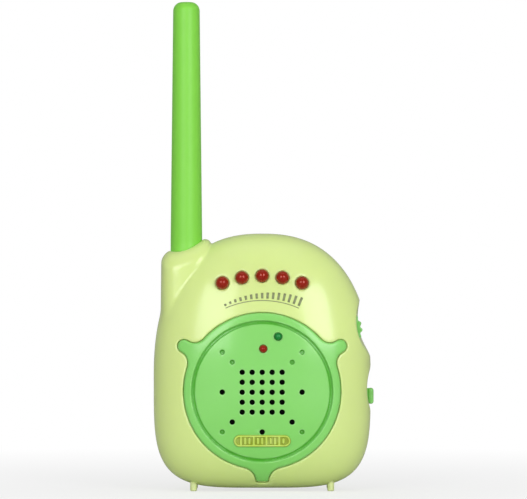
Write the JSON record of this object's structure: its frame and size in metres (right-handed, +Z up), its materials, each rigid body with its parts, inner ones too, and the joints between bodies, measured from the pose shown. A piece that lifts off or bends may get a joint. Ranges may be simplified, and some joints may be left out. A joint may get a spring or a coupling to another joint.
{
  "type": "toy walkie talkie",
  "caption": "Rounded handheld toy radio with a stub antenna, lugged speaker cover, level lamps, volume wheel, slide switch, belt clip and hinged battery door.",
  "frame": {"origin": "on the table, midway between the left and right feet, in the plane where the two shells meet", "axes": "+Z up along the antenna, +X to the right as seen from the front, +Y out of the back"},
  "size_m": [0.0837, 0.0499, 0.1856],
  "materials": {
    "pale_plastic": "semi-gloss moulded, pale yellow-green",
    "leaf_plastic": "satin moulded, leaf green",
    "badge_plastic": "gloss, lime",
    "foot_plastic": "translucent pale green",
    "antenna_rubber": "satin flexible sleeve, green",
    "wire_steel": "drawn wire",
    "brass": "turned",
    "red_lens": "clear-dyed lamp lens",
    "green_lens": "clear-dyed lamp lens",
    "steel": "zinc plated",
    "black_plastic": "matte moulded",
    "board": "phenolic board, brown",
    "can_steel": "tinned can",
    "capacitor_sleeve": "shrink sleeve, dark blue",
    "battery_jacket": "printed steel jacket, plain",
    "lead_red": "insulated wire",
    "lead_black": "insulated wire",
    "screen_cloth": "black felt scrim",
    "cone_paper": "pressed paper",
    "magnet_iron": "ferrite magnet"
  },
  "bodies": {
    "casing": {"front_shell": "pale_plastic", "rear_shell": "pale_plastic", "speaker_cover": "leaf_plastic", "cover_badge": "badge_plastic", "belt_clip": "pale_plastic", "feet": "foot_plastic", "case_screws": "steel", "clip_screws": "steel", "antenna_sleeve": "antenna_rubber", "antenna_coil": "wire_steel", "antenna_ferrule": "brass", "antenna_lead": "lead_black", "dust_screen": "screen_cloth", "speaker_frame": "steel", "speaker_cone": "cone_paper", "speaker_magnet": "magnet_iron", "speaker_clamps": "steel", "speaker_screws": "steel", "speaker_leads": "lead_black", "main_board": "board", "board_screws": "steel", "audio_chip": "black_plastic", "radio_chip": "black_plastic", "crystal": "can_steel", "capacitors": "capacitor_sleeve", "tuning_coils": "can_steel", "level_led_1": "red_lens", "level_led_2": "red_lens", "level_led_3": "red_lens", "level_led_4": "red_lens", "level_led_5": "red_lens", "power_led": "green_lens", "link_led": "red_lens", "led_legs": "wire_steel", "volume_pot": "black_plastic", "slide_switch": "steel", "battery": "battery_jacket", "battery_snap": "black_plastic", "battery_leads": "lead_red", "dc_jack": "black_plastic", "dc_pin": "brass"},
    "wheel": {"volume_wheel": "leaf_plastic", "wheel_screw": "steel", "pot_shaft": "steel"},
    "knob": {"slide_knob": "leaf_plastic", "switch_lever": "black_plastic"},
    "door": {"battery_door": "pale_plastic"}
  },
  "joints": [
    {"name": "wheel_turn", "type": "hinge", "parent": "casing", "child": "wheel", "pos_m": [0.0302, 0.0037, 0.061], "axis": [0, 1, 0], "range_deg": [-135, 135]},
    {"name": "knob_slide", "type": "slide", "parent": "casing", "child": "knob", "axis": [0, 0, 1], "range_m": [0, 0.004]},
    {"name": "door_swing", "type": "hinge", "parent": "casing", "child": "door", "pos_m": [0, 0.0211, 0.0153], "axis": [-1, 0, 0], "range_deg": [0, 90]}
  ]
}
